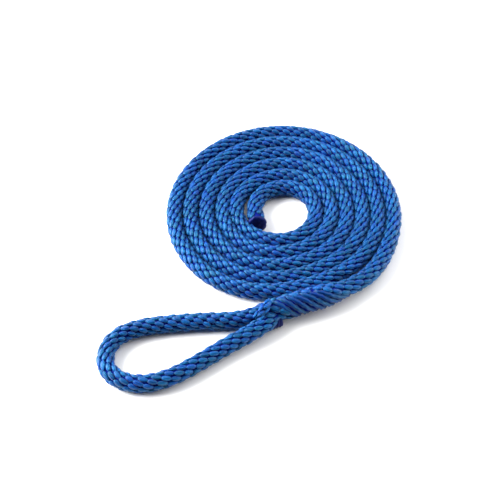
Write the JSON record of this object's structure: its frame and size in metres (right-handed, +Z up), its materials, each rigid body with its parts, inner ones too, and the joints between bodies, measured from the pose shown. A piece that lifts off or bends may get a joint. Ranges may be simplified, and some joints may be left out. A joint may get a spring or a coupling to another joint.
{
  "type": "coiled dock line",
  "caption": "Solid-braid mooring rope laid in a flat spiral coil, with a spliced eye at one end and a melted bitter end in the middle.",
  "frame": {"origin": "under the middle of the whole line's bounding box, on the surface it lies on", "axes": "+Z up; +Y from the eye towards the far side of the coil; +X to the right, towards the side where the line leaves the coil"},
  "size_m": [0.1821, 0.2043, 0.0146],
  "materials": {
    "rope": "blue multifilament polypropylene yarn, solid braid, soft satin",
    "melted_end": "rope yarn melted into a hard dark blue-black cap"
  },
  "bodies": {
    "root": {"coil": "rope", "lead_in": "rope", "splice_sleeve": "rope", "buried_tail": "rope", "eye_loop": "rope", "throat_strand": "rope", "tail_stub": "rope", "bitter_end": "rope", "sealed_end": "melted_end"}
  },
  "joints": []
}
